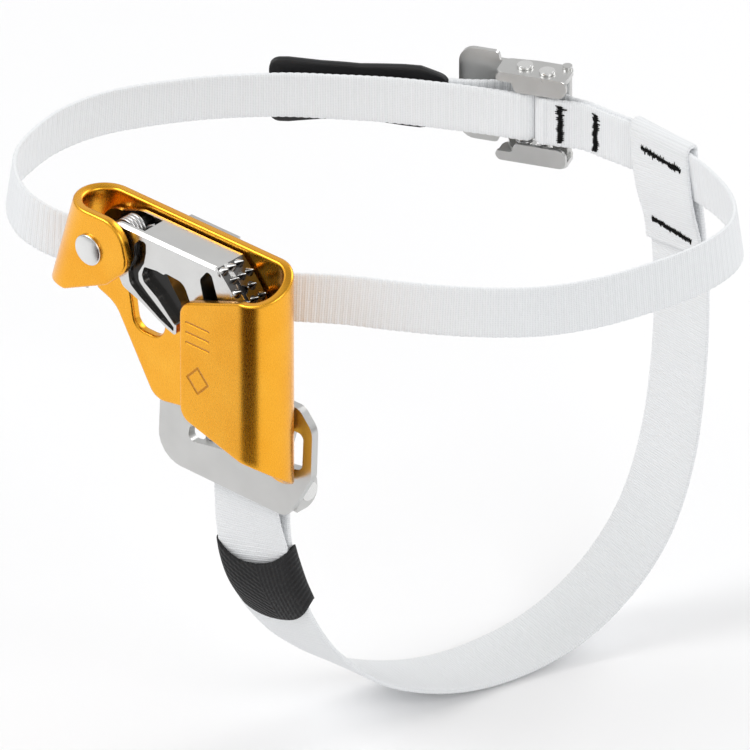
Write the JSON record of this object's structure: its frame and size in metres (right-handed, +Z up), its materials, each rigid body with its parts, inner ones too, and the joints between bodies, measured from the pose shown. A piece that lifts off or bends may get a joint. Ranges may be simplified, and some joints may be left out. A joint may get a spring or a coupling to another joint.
{
  "type": "foot-mounted rope ascender",
  "caption": "Foot-mounted rope ascender: folded alloy frame, sprung toothed cam, ankle strap with cam buckle and stirrup strap under the sole.",
  "frame": {"origin": "axis of the rope channel at the middle of the frame's height", "axes": "+X from the cam pivot towards the rope channel, +Y towards the foot, +Z up the rope"},
  "size_m": [0.2053, 0.1779, 0.1794],
  "materials": {
    "anodised_alloy": "golden orange anodised, satin gloss",
    "cast_steel": "polished investment casting, darker in its recesses",
    "plate_steel": "tumbled stainless",
    "buckle_steel": "tumbled stainless",
    "pin_steel": "turned stainless",
    "spring_steel": "drawn wire",
    "white_webbing": "woven polymer webbing, ribbed across its width",
    "black_thread": "zigzag bar tack",
    "black_elastic": "ribbed elastic",
    "black_plastic": "matte moulded"
  },
  "bodies": {
    "frame_body": {"frame": "anodised_alloy", "cam_spring": "spring_steel", "cam_bush": "pin_steel", "cam_washers": "pin_steel", "pivot_rivet": "pin_steel", "strap_plate": "plate_steel", "plate_rivets": "pin_steel", "strap_pin": "pin_steel", "foot_strap": "white_webbing", "foot_bartacks": "black_thread", "elastic_keeper": "black_elastic", "ankle_strap": "white_webbing", "ankle_bartacks": "black_thread", "strap_end_tab": "black_plastic", "buckle_frame": "buckle_steel", "buckle_pin": "pin_steel", "buckle_roller": "pin_steel", "buckle_bar": "pin_steel", "buckle_spring": "spring_steel"},
    "cam_body": {"cam": "cast_steel", "drum_spring": "spring_steel"},
    "lever_body": {"buckle_lever": "buckle_steel"}
  },
  "joints": [
    {"name": "cam_pivot", "type": "hinge", "parent": "frame_body", "child": "cam_body", "pos_m": [-0.0614, 0, 0.0273], "axis": [0, 1, 0], "range_deg": [0, 38], "stiffness_Nm_per_rad": 0.05, "springref_deg": -20.05, "deforming": ["cam_spring"]},
    {"name": "buckle_lever_pivot", "type": "hinge", "parent": "frame_body", "child": "lever_body", "pos_m": [-0.03237, 0.15642, 0.015], "axis": [0, 0, -1], "range_deg": [0, 70], "stiffness_Nm_per_rad": 0.02, "springref_deg": -11.46}
  ]
}
